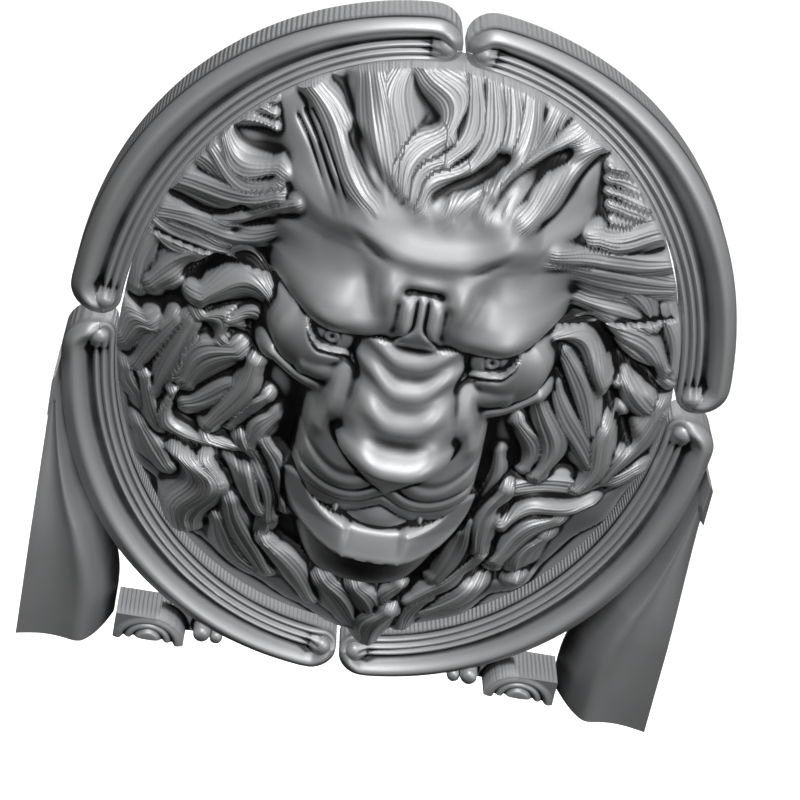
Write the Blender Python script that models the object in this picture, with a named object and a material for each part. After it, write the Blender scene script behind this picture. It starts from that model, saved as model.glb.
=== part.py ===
# Lion head wall mask: a snarling lion's head in a ring of four scroll-ended mouldings,
# with the curved flank pieces and the small volutes that stand below and behind the ring.
# The wall is the plane y = 0, the object stands in front of it towards -Y, and +Z is up.
import math

import bpy
import numpy as np

for old in list(bpy.data.objects):
    bpy.data.objects.remove(old, do_unlink=True)

mm = 0.001
sharpFrom = math.radians(50.0)

# Ring of mouldings, millimetres
ringHalfWidth = 178.0
ringHalfHeight = 202.4
ballLevel = 28.0
ballRadius = 6.0
ballInset = 9.6
outerOffsetSide = 21.4
outerOffsetTop = 17.2
outerBulge = 4.2
innerOffset = -9.8
sideGap = 5.2
topGap = 1.8
endLengthOuter = 17.0
endLengthInner = 10.0
endStart = math.radians(14.0)
rollRise = 6.4
hollowDepth = 4.0
edgeDrop = 2.6
beadRise = 1.3
beadPitch = 4.7
columnsEnd = 5
columnsMiddle = 20

# Lion's head, millimetres
rimGap = 2.4
plateGap = 1.0
plateLevel = 9.0
headCells = 47
centreDensity = 0.74
rimLevel = 26.0
maneDome = 46.0
maneSunk = 5.0

# Flank pieces and volutes, millimetres
flankCutX = 200.0
footCutZ = -216.0
flankTopZ = -36.0
flankLevelMost = 46.0
flankFreeX = 142.5
voluteTopZ = -199.0
voluteOuterX = 141.0
voluteLevelMost = 33.0
voluteEyeX = 119.0
voluteEyeZ = -217.0
webLevel = 12.0
clearance = 0.3


def ballEllipse(angle):
    """Radius of the ellipse that the scroll balls stand on"""
    across = np.cos(angle) / ringHalfWidth
    upward = np.sin(angle) / ringHalfHeight
    return 1.0 / np.sqrt(across * across + upward * upward)


def outerOffset(angle):
    """Distance from the ball ellipse out to the ring's outer wall"""
    steep = np.sin(angle) ** 2
    bulge = outerBulge * np.sin(2.0 * angle) ** 2
    return outerOffsetSide + (outerOffsetTop - outerOffsetSide) * steep + bulge


def ramp(value, low, high):
    """Zero below low, one above high, smooth between"""
    t = np.clip((value - low) / (high - low), 0.0, 1.0)
    return t * t * (3.0 - 2.0 * t)


def softMax(a, b, blend):
    """Larger of two heights with the seam rounded over the blend"""
    return 0.5 * (a + b + np.sqrt((a - b) ** 2 + blend * blend))


def hill(x, z, at, size, turn=0.0):
    """Round hill of height one, with its half sizes along and across its turned axis"""
    c = math.cos(math.radians(turn))
    s = math.sin(math.radians(turn))
    u = ((x - at[0]) * c + (z - at[1]) * s) / size[0]
    v = ((z - at[1]) * c - (x - at[0]) * s) / size[1]
    return np.exp(-(u * u + v * v))


def addMaterial(name, tone):
    """Dark cast iron under a satin wax"""
    made = bpy.data.materials.new(name)
    made.use_nodes = True
    shader = made.node_tree.nodes["Principled BSDF"]
    shader.inputs["Base Color"].default_value = (tone, tone, tone * 1.02, 1.0)
    shader.inputs["Metallic"].default_value = 0.6
    shader.inputs["Roughness"].default_value = 0.5
    return made


def makeOutward(mesh):
    """Turns every face over if the closed solid comes out inside out"""
    volume = 0.0
    for face in mesh.polygons:
        corners = [mesh.vertices[i].co for i in face.vertices]
        for k in range(1, len(corners) - 1):
            volume += corners[0].dot(corners[k].cross(corners[k + 1]))
    if volume < 0.0:
        mesh.flip_normals()


def solidFromGrid(name, front, tone):
    """Closed solid from a grid of front points: skirt down to the wall and a flat back"""
    rows, columns = front.shape[:2]
    index = np.arange(rows * columns).reshape(rows, columns)
    rim = np.concatenate([index[0, :-1], index[:-1, -1], index[-1, :0:-1], index[:0:-1, 0]])
    points = front.reshape(-1, 3)
    foot = points[rim].copy()
    foot[:, 1] = 0.0
    first = len(points)
    count = len(rim)
    faces = []
    for i in range(rows - 1):
        for j in range(columns - 1):
            faces.append((index[i, j], index[i, j + 1], index[i + 1, j + 1], index[i + 1, j]))
    for k in range(count):
        after = (k + 1) % count
        faces.append((rim[after], rim[k], first + k, first + after))
    faces.append(tuple(range(first + count - 1, first - 1, -1)))
    corners = (np.concatenate([points, foot]) * mm).tolist()
    mesh = bpy.data.meshes.new(name)
    mesh.from_pydata(corners, [], [tuple(int(i) for i in face) for face in faces])
    mesh.update()
    makeOutward(mesh)
    mesh.polygons.foreach_set("use_smooth", np.ones(len(mesh.polygons), dtype=bool))
    mesh.set_sharp_from_angle(angle=sharpFrom)
    mesh.materials.append(addMaterial("satin_iron_" + name, tone))
    made = bpy.data.objects.new(name, mesh)
    bpy.context.scene.collection.objects.link(made)


def mouldingLevel(along, offset, outer):
    """Height of the moulding over the wall: outer roll, hollow and fine beads, ball at the end"""
    reach = np.where(offset > 0.0, endLengthOuter, endLengthInner)
    side = np.where(offset > 0.0, outer, -innerOffset)
    lengthwise = np.clip(1.0 - along / reach, 0.0, 1.0)
    inset = 1.0 - np.hypot(lengthwise, np.abs(offset) / side)
    wrap = ramp(offset, -6.0, 8.0)
    crest = np.exp(-((inset - 0.34) / 0.27) ** 2)
    hollow = np.exp(-((inset - 0.80) / 0.17) ** 2)
    roll = (rollRise * crest - hollowDepth * hollow) * wrap
    slope = -edgeDrop * np.clip(-offset / 9.0, 0.0, 1.0)
    beads = beadRise * np.cos(2.0 * math.pi * (offset - 1.2) / beadPitch) * ramp(along, 9.0, 16.0)
    body = ballLevel + np.where(offset > 3.0, roll, 0.5 * roll + slope + beads)
    fromBall = (along - ballInset) ** 2 + offset ** 2
    dome = ballLevel - 1.0 + np.sqrt(np.maximum(ballRadius ** 2 - fromBall, 0.0))
    level = np.where(fromBall < ballRadius ** 2, np.maximum(body, dome), body)
    return level - 2.2 * (1.0 - ramp(inset, 0.0, 0.16))


# Lines across the moulding, as shares of its width from the outer wall to the inner edge
acrossShares = np.array((0.0, 0.08, 0.22, 0.40, 0.56, 0.665, 0.74, 0.805, 0.865, 0.93, 1.0))


def columnPoints(angle, along, offset, outer):
    """Front points of one line across the moulding"""
    level = mouldingLevel(along, offset, outer)
    reach = ballEllipse(angle) + offset
    return np.stack([reach * np.cos(angle), -level, reach * np.sin(angle)], axis=1)


def endColumn(endAngle, direction, turn):
    """Points across the rounded end, at one place along the rounding"""
    outer = outerOffset(endAngle)
    alongOuter = endLengthOuter * (1.0 - math.cos(turn))
    alongInner = endLengthInner * (1.0 - math.cos(turn))
    along = alongOuter + (alongInner - alongOuter) * acrossShares
    high = outer * math.sin(turn)
    low = innerOffset * math.sin(turn)
    offset = high + (low - high) * acrossShares
    angle = endAngle + direction * along / ballEllipse(endAngle)
    return columnPoints(angle, along, offset, outer)


def middleColumn(angle, start, stop):
    """Points across the moulding away from its ends"""
    outer = outerOffset(angle)
    offset = outer + (innerOffset - outer) * acrossShares
    nearest = min(abs(angle - start) * ballEllipse(start), abs(stop - angle) * ballEllipse(stop))
    return columnPoints(np.full(len(offset), angle), np.full(len(offset), nearest), offset, outer)


def buildMoulding(name, fromAngle, toAngle, gapFrom, gapTo):
    """One crescent of the ring between two gaps, with a rounded end and a ball at each"""
    start = fromAngle + gapFrom / 2.0 / ballEllipse(fromAngle)
    stop = toAngle - gapTo / 2.0 / ballEllipse(toAngle)
    turns = np.linspace(endStart, math.pi / 2.0, columnsEnd + 1)
    middleStart = start + endLengthOuter / ballEllipse(start)
    middleStop = stop - endLengthOuter / ballEllipse(stop)
    grid = [endColumn(start, 1.0, turn) for turn in turns]
    for step in range(1, columnsMiddle):
        grid.append(middleColumn(middleStart + (middleStop - middleStart) * step / columnsMiddle, start, stop))
    grid.extend(endColumn(stop, -1.0, turn) for turn in turns[::-1])
    solidFromGrid(name, np.array(grid), 0.20)


# Notches in the mane's outline: direction in degrees from +X, depth and width in degrees
rimNotches = ((200, 2, 12), (220, 8, 4), (238, 11, 8), (252, 12, 8), (262, 6, 5), (287, 4, 8), (300, 10, 5),
              (314, 10, 7), (323, 9, 6), (336, 4, 6), (24, 2, 4))


def maneOutline(angle):
    """Radius of the mane's outer edge, just inside the ring's inner wall"""
    radius = ballEllipse(angle) + innerOffset - rimGap
    degrees = np.degrees(angle) % 360.0
    for middle, depth, width in rimNotches:
        away = (degrees - middle + 180.0) % 360.0 - 180.0
        radius = radius - depth * np.exp(-(away / width) ** 2)
    return radius


# Locks of the mane in millimetres on the wall plane: start x and z, end x and z, bow to one
# side, sway to both sides, half width and rise
locks = (
    (-81, 168, -38, 124, 0, 2, 9, 14), (-50, 186, -28, 131, 0, 0, 10, 10), (-31, 190, -28, 142, -4, -3, 8, 8),
    (-21, 192, -2, 161, 10, -3, 9, 13), (-2, 161, -21, 131, -7, 1, 8, 13), (8, 192, -1, 149, 10, -1, 8, 12),
    (-1, 149, -16, 127, -6, 0, 7, 12), (19, 191, 13, 147, 8, -1, 8, 13), (13, 147, -10, 126, -4, 2, 8, 13),
    (29, 190, 23, 142, 7, 0, 7, 12), (23, 142, 6, 123, -4, 0, 7, 12), (44, 184, 28, 131, 4, 2, 9, 13),
    (59, 177, 32, 136, 0, 2, 9, 12), (78, 170, 34, 142, -1, 2, 8, 14), (88, 164, 50, 128, -4, -2, 8, 17),
    (96, 113, 145, 113, -1, -2, 9, 14), (73, 105, 152, 95, -3, 1, 8, 15), (70, 99, 155, 79, -2, 0, 9, 16),
    (91, 75, 140, 57, 1, -1, 6, 13), (106, 61, 155, 28, 8, -1, 8, 13), (77, 55, 121, 22, 15, 4, 10, 20),
    (90, 45, 118, -8, 4, 0, 9, 13), (88, 24, 126, -36, -1, -1, 9, 14), (82, 13, 92, -38, 9, -2, 10, 17),
    (131, -1, 120, -50, 2, -3, 9, 17), (158, 5, 134, -44, 3, 1, 8, 12), (155, -41, 76, -52, 2, 1, 8, 19),
    (76, -52, 68, -98, -5, 0, 9, 15), (131, -62, 80, -80, -7, 4, 7, 13), (112, -78, 83, -110, -5, -1, 8, 12),
    (108, -92, 98, -128, -6, -1, 9, 13), (57, -78, 49, -126, 4, 0, 9, 15), (70, -104, 35, -148, 4, 1, 7, 16),
    (81, -120, 45, -160, 6, 0, 8, 13), (-60, -119, -25, -162, 3, 0, 8, 18), (-21, -143, 3, -173, 2, 0, 11, 16),
    (0, -141, 15, -168, 3, 0, 9, 16), (24, -157, 16, -188, -4, 0, 11, 22), (45, -144, 35, -174, -5, 0, 9, 15),
    (-122, 37, -77, 44, 16, -2, 12, 20), (-104, 27, -82, 20, 9, 0, 9, 14), (-120, 23, -108, 14, 11, 0, 9, 13),
    (-97, 9, -124, -20, -7, 0, 12, 13), (-129, -30, -105, -55, -17, -1, 7, 18), (-105, -55, -67, -95, 10, 3, 8, 17),
    (-86, 6, -105, -44, 4, 1, 8, 16), (-67, -26, -79, -50, -3, 0, 8, 12), (-72, -44, -52, -88, 4, 0, 8, 13),
    (-85, -46, -62, -100, 4, -1, 8, 13), (-147, -29, -112, -67, -10, 1, 7, 13), (-145, -65, -126, -88, -1, 0, 8, 11),
    (-118, -72, -111, -126, 9, 7, 12, 20), (-88, -100, -58, -148, -5, 0, 10, 12), (-157, 92, -90, 107, -4, 2, 8, 15),
    (-121, 80, -80, 107, -3, -1, 6, 13), (-152, 72, -80, 92, -7, 3, 7, 14), (-158, 66, -116, 62, -2, -1, 9, 11),
    (-135, 122, -92, 112, -11, 2, 7, 12), (-126, 130, -92, 120, -12, -1, 7, 10), (-155, 58, -160, 25, -3, 0, 7, 9),
    (-148, 4, -163, -11, -5, -1, 10, 10), (-125, 17, -140, -37, 0, 0, 8, 11),
)


def lockRidges(x, z):
    """Round ridges of hair that bow and sway along each lock"""
    height = np.zeros_like(x)
    for fromX, fromZ, toX, toZ, bow, sway, width, rise in locks:
        length = math.hypot(toX - fromX, toZ - fromZ)
        unitX = (toX - fromX) / length
        unitZ = (toZ - fromZ) / length
        along = ((x - fromX) * unitX + (z - fromZ) * unitZ) / length
        across = (z - fromZ) * unitX - (x - fromX) * unitZ
        held = np.clip(along, 0.0, 1.0)
        across = across - bow * np.sin(math.pi * held) - sway * np.sin(2.0 * math.pi * held)
        beyond = (along - held) * length
        ridge = 1.0 - (across / width) ** 2 - (beyond / width) ** 2
        height = np.maximum(height, rise * np.sqrt(np.maximum(ridge, 0.0)))
    return height


# Deep valleys between the locks: start x and z, end x and z, bow, half width and depth
valleys = (
    (-58, 155, -24, 124, -1, 6, 16), (30, 152, -2, 131, 2, 5, 12), (67, 154, 32, 132, -6, 6, 12),
    (78, 68, 146, 26, 4, 7, 16), (135, -57, 81, -68, -3, 6, 14), (-126, 46, -73, 62, 11, 7, 18),
    (-160, 74, -108, 91, -4, 5, 12), (-124, -64, -85, -61, -2, 6, 14), (-109, 78, -79, 98, 0, 4, 9),
    (75, -125, 98, -125, -3, 8, 14), (-88, 26, -61, 12, 0, 6, 14), (127, 28, 143, -16, -6, 5, 12),
)


def valleyDepth(x, z):
    """Depth of the dark valleys that part the locks"""
    depth = np.zeros_like(x)
    for fromX, fromZ, toX, toZ, bow, width, deep in valleys:
        length = math.hypot(toX - fromX, toZ - fromZ)
        unitX = (toX - fromX) / length
        unitZ = (toZ - fromZ) / length
        along = ((x - fromX) * unitX + (z - fromZ) * unitZ) / length
        held = np.clip(along, 0.0, 1.0)
        across = (z - fromZ) * unitX - (x - fromX) * unitZ - bow * np.sin(math.pi * held)
        beyond = (along - held) * length
        depth = np.maximum(depth, deep * np.exp(-(across / width) ** 2 - (beyond / width) ** 2))
    return depth


# Nose, millimetres: place along the bridge of each band's upper edge, and the height there
noseBands = ((51, 100.5), (36, 106.5), (20.5, 113.5), (2, 121.5), (-20, 138.5))


def noseLevel(x, z):
    """Broad nose in bands that sag at the sides, ending in a pad that comes to a point below"""
    side = np.abs(x)
    curved = z - (11.0 - 6.0 * ramp(-z, -14.0, 4.0)) * (1.0 - np.exp(-(side / 18.0) ** 2.8))
    upper, height = np.array(noseBands, dtype=float).T
    place = np.interp(-curved, -upper, np.arange(len(upper)))
    band = np.minimum(place.astype(int), len(upper) - 2)
    wave = np.sin(2.0 * math.pi * (place - 0.38)) + math.sin(2.0 * math.pi * 0.38)
    middle = np.interp(place, np.arange(len(upper)), height) + np.diff(height)[band] * 0.20 * wave
    tipStart = -17.0 + 4.0 * (side / 27.0) ** 2
    tipStop = -40.5 + 0.62 * side + 0.03 * np.clip(side - 15.0, 0.0, None) ** 2
    under = np.clip((tipStart - z) / np.maximum(tipStart - tipStop, 2.0), 0.0, 2.0)
    middle = middle - 28.0 * under ** 1.1
    halfWidth = 25.0 + 4.0 * ramp(z, 26.0, 46.0) + 5.5 * ramp(-z, -22.0, 0.0)
    share = side / halfWidth
    level = middle - (12.0 + 8.0 * ramp(-z, -14.0, 2.0)) * share ** 3
    level = level - 50.0 * np.clip(share - 1.0, 0.0, None) ** 1.5
    return level - 3.0 * np.clip(z - 51.0, 0.0, None) - 6.0 * np.clip(tipStop - z, 0.0, None)


# Forehead on the middle line, millimetres: place from the brow's edge to the crown, and height
foreheadStops = ((40, 98), (52, 101.5), (60, 104), (70, 103), (80, 100), (90, 97.2), (96, 96.2), (101, 94.4),
                 (106, 90.4), (111, 85.8), (116, 82), (122, 78), (130, 73), (145, 62.5), (165, 47), (180, 35),
                 (195, 24))


def foreheadLevel(x, z):
    """Forehead and heavy brow lobes, with a cut lower edge over the eyes"""
    side = np.abs(x)
    curved = z - 0.0066 * side ** 2 * ramp(z, 82.0, 96.0) * (1.0 - 0.6 * ramp(side, 38.0, 62.0))
    place, height = np.array(foreheadStops, dtype=float).T
    halfWidth = 82.0 - 0.22 * np.clip(z - 78.0, 0.0, None)
    power = 2.8 + 1.4 * ramp(-z, -92.0, -72.0)
    level = np.interp(curved, place, height) - 38.0 * (side / halfWidth) ** power
    level = level + 9.0 * ramp(side, 12.0, 46.0) * ramp(z, 97.0, 126.0)
    level = level + 10.0 * hill(side, z, (52, 60), (24, 17)) + 5.0 * hill(side, z, (19.5, 83), (6.5, 10.0))
    edge = 51.0 + 13.0 * ramp(side, 46.0, 88.0)
    t = np.clip((z - edge) / 15.0, 0.0, 1.0)
    level = level - 9.0 * (1.0 - np.sqrt(1.0 - (1.0 - t) ** 2)) * ramp(side, 9.0, 24.0)
    return level - 6.0 * np.clip(edge - z, 0.0, None)


def muzzleLevel(x, z):
    """Round upper lip pads with folds that rise to the eye bags"""
    side = np.abs(x)
    level = 109.0 - 0.0155 * np.maximum(side - 16.0, 0.0) ** 2
    level = level - np.where(z < -28.0, 0.012, 0.0035) * (z + 28.0) ** 2
    level = level + 4.0 * hill(side, z, (44, 7), (6.0, 15)) + 2.6 * hill(side, z, (33, 18), (6.0, 14))
    lip = -52.0 - 14.0 * np.sin(math.pi * np.clip(side / 52.0, 0.0, 1.0)) ** 1.2 + 6.0 * ramp(side, 40.0, 54.0)
    outer = 0.40 * np.clip(side - 49.0, 0.0, None) ** 2
    below = 6.0 * np.clip(lip - z, 0.0, None)
    return level - outer - below - 0.018 * np.clip(z - 10.0, 0.0, None) ** 2


def creases(x, z):
    """Creases of the upper lip, brow furrow and frown"""
    side = np.abs(x)
    cut = np.zeros_like(x)
    for sag, outerZ, depth in ((-31.0, -8.0, 3.0), (-47.0, -34.0, 4.0), (-55.0, -50.0, 3.0)):
        line = sag + (outerZ - sag) * (np.abs(side - 26.0) / 30.0) ** 2
        cut = cut + depth * np.exp(-((z - line) / 2.6) ** 2) * ramp(side, 4.0, 14.0) * (1.0 - ramp(side, 52.0, 58.0))
    furrow = 94.0 + 0.0066 * side ** 2
    cut = cut + 2.4 * np.exp(-((z - furrow) / 4.0) ** 2) * (1.0 - ramp(side, 38.0, 50.0))
    cut = cut + 4.6 * np.exp(-((z - 82.5) / 2.6) ** 2) * (1.0 - ramp(side, 10.0, 15.0))
    fold = 2.6 * np.exp(-((side - 2.6 - 9.0 * ramp(-z, -60.0, -50.0)) / 1.8) ** 2)
    return cut + fold * ramp(z, 49.0, 55.0) * (1.0 - ramp(z, 77.0, 81.0))


def eyeLevel(x, z):
    """Eyes half under the brow, with puffy bags below them"""
    side = np.abs(x)
    fromBag = np.hypot((side - 55.0) / 23.0, (z - 41.0) / 21.0)
    bag = 94.0 - 10.0 * fromBag ** 2.4 - 40.0 * np.clip(fromBag - 1.0, 0.0, None)
    fromLow = np.hypot((side - 54.0) / 22.0, (z - 33.0) / 22.5)
    lower = 88.0 - 7.0 * fromLow ** 2.4 - 40.0 * np.clip(fromLow - 1.0, 0.0, None)
    fromBall = np.hypot((side - 46.0) / 15.0, (z - 46.0) / 9.0)
    ball = 93.0 + 4.0 * np.sqrt(np.maximum(1.0 - fromBall ** 2, 0.0))
    lid = 41.0 + 0.030 * np.maximum(side - 40.0, 0.0) ** 2 - 0.05 * np.maximum(40.0 - side, 0.0) ** 2
    return np.where((z > lid) & (fromBall < 1.0), ball - 6.0, np.maximum(bag, lower))


def jawLevel(x, z):
    """Lower lip as a standing band round the open mouth, and the chin under it"""
    side = np.abs(x)
    under = np.clip(-50.0 - z, 0.0, None)
    inside = (side / 46.0) ** 2.4 + (under / 23.0) ** 2.4
    outside = (side / 57.0) ** 2.6 + (under / 39.0) ** 2.6
    over = np.clip(side - 17.0, 0.0, None)
    crown = 107.0 - 0.55 * over - 0.0095 * over ** 2 - 5.0 * np.clip((z + 87.0) / 14.0, 0.0, 1.0)
    band = crown - 26.0 * ramp(1.0 - inside, -0.04, 0.80) - 40.0 * np.clip(outside - 1.0, 0.0, None)
    band = band - 1.5 * np.clip(z + 56.0, 0.0, None)
    below = np.clip(-86.0 - z, 0.0, None)
    chin = 96.0 - 0.016 * x ** 2 - 0.24 * below - 0.011 * below ** 2 - 2.0 * np.clip(below - 40.0, 0.0, None)
    chin = chin - 0.10 * np.clip(side - 42.0 + 0.45 * below, 0.0, None) ** 2 - 12.0 * np.clip(z + 86.0, 0.0, None)
    return np.maximum(band, chin)


def mouthFloor(x, z):
    """Tongue as a plate standing in the open mouth"""
    tongue = 99.0 - 0.02 * x ** 2 - 0.03 * (z + 64.0) ** 2 - 7.0 * np.clip(-69.0 + 0.008 * x ** 2 - z, 0.0, None)
    return tongue - 6.0 * np.clip(np.abs(x) - 19.0, 0.0, None) - 6.0 * np.clip(z + 50.0, 0.0, None)


def headLevel(x, z):
    """Height of the lion's head over the wall"""
    angle = np.arctan2(z, x)
    share = np.hypot(x, z) / maneOutline(angle)
    side = np.abs(x)
    dome = rimLevel + maneDome * (1.0 - share ** 2.4) - maneSunk
    forehead = foreheadLevel(x, z)
    face = forehead - maneSunk * ramp(z, 118.0, 146.0)
    crown = face - 2.0 * np.clip(100.0 - z, 0.0, None)
    dome = softMax(dome, crown, 8.0)
    dome = dome + 9.0 * hill(side, z, (96, 134), (28, 34), -30) - 10.0 * hill(side, z, (99, 133), (15, 20), -30)
    roots = 0.30 + 0.70 * ramp(z + 40.0 * ramp(side, 40.0, 90.0), 116.0, 146.0)
    roots = np.where(z > 60.0, roots, 1.0)
    hair = ramp(share, 0.36, 0.50)
    mane = dome + (0.8 * lockRidges(x, z) * roots - valleyDepth(x, z)) * hair
    cheek = 74.0 - 0.03 * (side - 40.0) ** 2 - 0.006 * (z + 5.0) ** 2
    face = np.maximum(face, cheek)
    face = np.maximum(face, eyeLevel(x, z) - 8.0 * np.clip(z - 58.0, 0.0, None))
    face = softMax(face, muzzleLevel(x, z), 4.0) - creases(x, z)
    face = softMax(face, noseLevel(x, z), 3.0)
    face = softMax(face, jawLevel(x, z), 1.0)
    face = np.maximum(face, mouthFloor(x, z))
    mouth = (1.0 - ramp(side, 50.0, 60.0)) * ramp(-z, 44.0, 54.0) * (1.0 - ramp(-z, 76.0, 86.0))
    mane = mane - mouth * np.clip(mane - 56.0, 0.0, None)
    level = softMax(mane, face, 5.0)
    level = level + (plateLevel - level) * ramp(share, 1.010, 1.030)
    return np.maximum(level, 7.0)


def concentric(cells, density):
    """Square grid wrapped onto the unit disc, closer set towards the middle"""
    side = np.linspace(-1.0, 1.0, cells + 1)
    a, b = np.meshgrid(side, side, indexing="ij")
    wide = np.abs(a) > np.abs(b)
    radius = np.where(wide, a, b)
    safeA = np.where(np.abs(a) < 1e-9, 1e-9, a)
    safeB = np.where(np.abs(b) < 1e-9, 1e-9, b)
    turn = np.where(wide, math.pi / 4.0 * b / safeA, math.pi / 2.0 - math.pi / 4.0 * a / safeB)
    across = radius * np.cos(turn)
    upward = radius * np.sin(turn)
    reach = np.hypot(across, upward)
    return reach * (density + (1.0 - density) * reach ** 2), np.arctan2(upward, across)


def buildHead():
    """The lion's head as one relief inside the ring"""
    reach, angle = concentric(headCells, centreDensity)
    radius = reach * (ballEllipse(angle) + innerOffset - plateGap)
    x = radius * np.cos(angle)
    z = radius * np.sin(angle)
    solidFromGrid("lion_head", np.stack([x, -headLevel(x, z), z], axis=2), 0.16)


def ringEdge(fromAngle, toAngle):
    """Points x and z of the ring's outer wall between two directions"""
    angles = np.linspace(fromAngle, toAngle, 721)
    radius = ballEllipse(angles) + outerOffset(angles)
    return radius * np.cos(angles), radius * np.sin(angles)


def flankInnerX(z):
    """Inner edge of a flank piece: along the ring above, then bowing in towards the volute"""
    edgeX, edgeZ = ringEdge(-math.pi / 2.0, math.pi / 2.0)
    byRing = np.interp(z, edgeZ, edgeX) + clearance + 0.9
    free = flankFreeX + 34.0 * ramp(z, -200.0, -92.0) ** 1.25
    return max(free, byRing)


def flankLevel(x, z, inner):
    """Height of a flank piece: steep round shoulder inside, gently dished outer part"""
    share = (x - inner) / (flankCutX - inner)
    shoulder = 1.0 - (1.0 - np.clip(share / 0.42, 0.0, 1.0)) ** 2.2
    drop = 9.0 * ramp(z, -160.0, -60.0)
    dish = 4.5 * np.sin(math.pi * np.clip((share - 0.3) / 0.7, 0.0, 1.0))
    level = 3.0 + (flankLevelMost - drop - 3.0) * shoulder - dish
    leafEdge = -64.0 + 14.0 * (1.0 - share)
    leaf = ramp(z, leafEdge, leafEdge + 6.0)
    return level + 12.0 * leaf * (0.6 + 0.4 * share)


def buildFlank(name, side):
    """Curved flank piece, cut flat at its outer side and at its foot"""
    rows = np.concatenate([np.linspace(footCutZ, -92.0, 11), np.linspace(-84.0, flankTopZ, 7)])
    shares = np.array((0.0, 0.08, 0.2, 0.36, 0.56, 0.78, 1.0))
    grid = np.zeros((len(rows), len(shares), 3))
    for i, z in enumerate(rows):
        inner = flankInnerX(z)
        x = inner + (flankCutX - inner) * shares
        grid[i, :, 0] = side * x
        grid[i, :, 1] = -flankLevel(x, z, inner)
        grid[i, :, 2] = z
    solidFromGrid(name, grid, 0.18)


# Small balls on the low web of a volute, millimetres: x, z, radius and the level of their middle
webBalls = ((86.0, -210.0, 5.5, 22.0), (76.5, -212.5, 4.2, 20.0))


def voluteLevel(x, z):
    """Height of a volute: a lip and two steps round an inner oval, with a low web beside them"""
    fromEye = np.hypot((x - voluteEyeX) / 1.25, z - voluteEyeZ)
    scroll = voluteLevelMost - 4.0 * ramp(-fromEye, -14.0, -12.0) - 1.4 * ramp(-fromEye, -9.0, -7.4)
    scroll = scroll + 2.6 * np.sqrt(np.maximum(1.0 - (fromEye / 6.5) ** 2, 0.0))
    level = np.where((fromEye > 18.5) & (x < voluteEyeX), webLevel, scroll)
    for ballX, ballZ, radius, foot in webBalls:
        within = radius ** 2 - (x - ballX) ** 2 - (z - ballZ) ** 2
        level = np.where(within > 0.0, foot + np.sqrt(np.maximum(within, 0.0)), level)
    return level


# Lines across a volute, millimetres from the middle: closer set on the small balls and the scroll
voluteLines = np.array((60.0, 71.0, 74.0, 76.5, 79.5, 82.0, 86.0, 90.0, 93.5, 96.0, 97.5, 102.0, 105.0, 108.5, 112.0,
                        115.5, 119.0, 122.5, 126.0, 129.5, 133.0, 137.0, voluteOuterX))


def buildVolute(name, side):
    """Small scroll below the ring with its web, cut flat at its foot"""
    edgeX, edgeZ = ringEdge(-math.pi / 2.0, 0.0)
    shares = np.linspace(0.0, 1.0, 9)
    grid = np.zeros((len(voluteLines), len(shares), 3))
    for i, x in enumerate(voluteLines):
        top = min(voluteTopZ, np.interp(x, edgeX, edgeZ) - clearance - 0.6)
        z = top + (footCutZ - top) * shares
        grid[i, :, 0] = side * x
        grid[i, :, 1] = -voluteLevel(x, z)
        grid[i, :, 2] = z
    solidFromGrid(name, grid, 0.18)


quarter = math.pi / 2.0
buildHead()
buildMoulding("frame_upper_right", 0.0, quarter, sideGap, topGap)
buildMoulding("frame_upper_left", quarter, 2.0 * quarter, topGap, sideGap)
buildMoulding("frame_lower_left", 2.0 * quarter, 3.0 * quarter, sideGap, topGap)
buildMoulding("frame_lower_right", 3.0 * quarter, 4.0 * quarter, topGap, sideGap)
buildFlank("flank_left", -1.0)
buildFlank("flank_right", 1.0)
buildVolute("volute_left", -1.0)
buildVolute("volute_right", 1.0)
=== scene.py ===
# Lion head wall mask in satin cast iron: the mask's relief, the ring of mouldings, the flank pieces
# and the volutes. The wall is y = 0, the face looks along -Y, +Z is up. Shapes are in millimetres.
import math
import bpy
import numpy as np
from mathutils import Matrix, Vector


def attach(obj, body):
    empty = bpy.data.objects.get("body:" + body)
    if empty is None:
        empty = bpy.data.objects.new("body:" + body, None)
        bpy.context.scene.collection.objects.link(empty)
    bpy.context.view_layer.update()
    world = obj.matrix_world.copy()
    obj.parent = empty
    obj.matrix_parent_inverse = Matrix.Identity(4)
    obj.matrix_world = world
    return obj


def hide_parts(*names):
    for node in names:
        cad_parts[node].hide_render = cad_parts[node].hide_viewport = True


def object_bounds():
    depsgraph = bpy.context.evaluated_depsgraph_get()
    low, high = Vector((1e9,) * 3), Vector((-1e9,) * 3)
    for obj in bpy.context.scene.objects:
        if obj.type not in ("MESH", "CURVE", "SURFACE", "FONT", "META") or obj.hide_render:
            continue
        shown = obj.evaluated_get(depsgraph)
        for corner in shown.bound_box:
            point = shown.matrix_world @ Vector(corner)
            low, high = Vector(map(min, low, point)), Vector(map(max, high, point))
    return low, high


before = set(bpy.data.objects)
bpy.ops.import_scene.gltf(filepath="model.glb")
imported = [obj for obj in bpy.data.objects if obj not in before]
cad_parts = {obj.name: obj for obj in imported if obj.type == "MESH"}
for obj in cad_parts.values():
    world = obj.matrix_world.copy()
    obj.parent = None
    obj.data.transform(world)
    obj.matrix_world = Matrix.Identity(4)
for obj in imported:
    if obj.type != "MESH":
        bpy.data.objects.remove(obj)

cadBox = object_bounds()
mm = 0.001
print("frame loaded")


# Small helpers

# Zero below low, one above high, 3t^2 - 2t^3 between
def ramp(value, low, high):
    t = np.clip((value - low) / (high - low), 0.0, 1.0)
    return t * t * (3.0 - 2.0 * t)


# One below low, zero above high: one less the ramp
def fade(value, low, high):
    return 1.0 - ramp(value, low, high)


# How far a value lies past a start, zero before it
def past(value, start):
    return np.clip(value - start, 0.0, None)


# Bell of height one: e to the minus squared distance from its middle, counted in widths
def bell(value, middle, width):
    return np.exp(-((value - middle) / width) ** 2)


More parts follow.
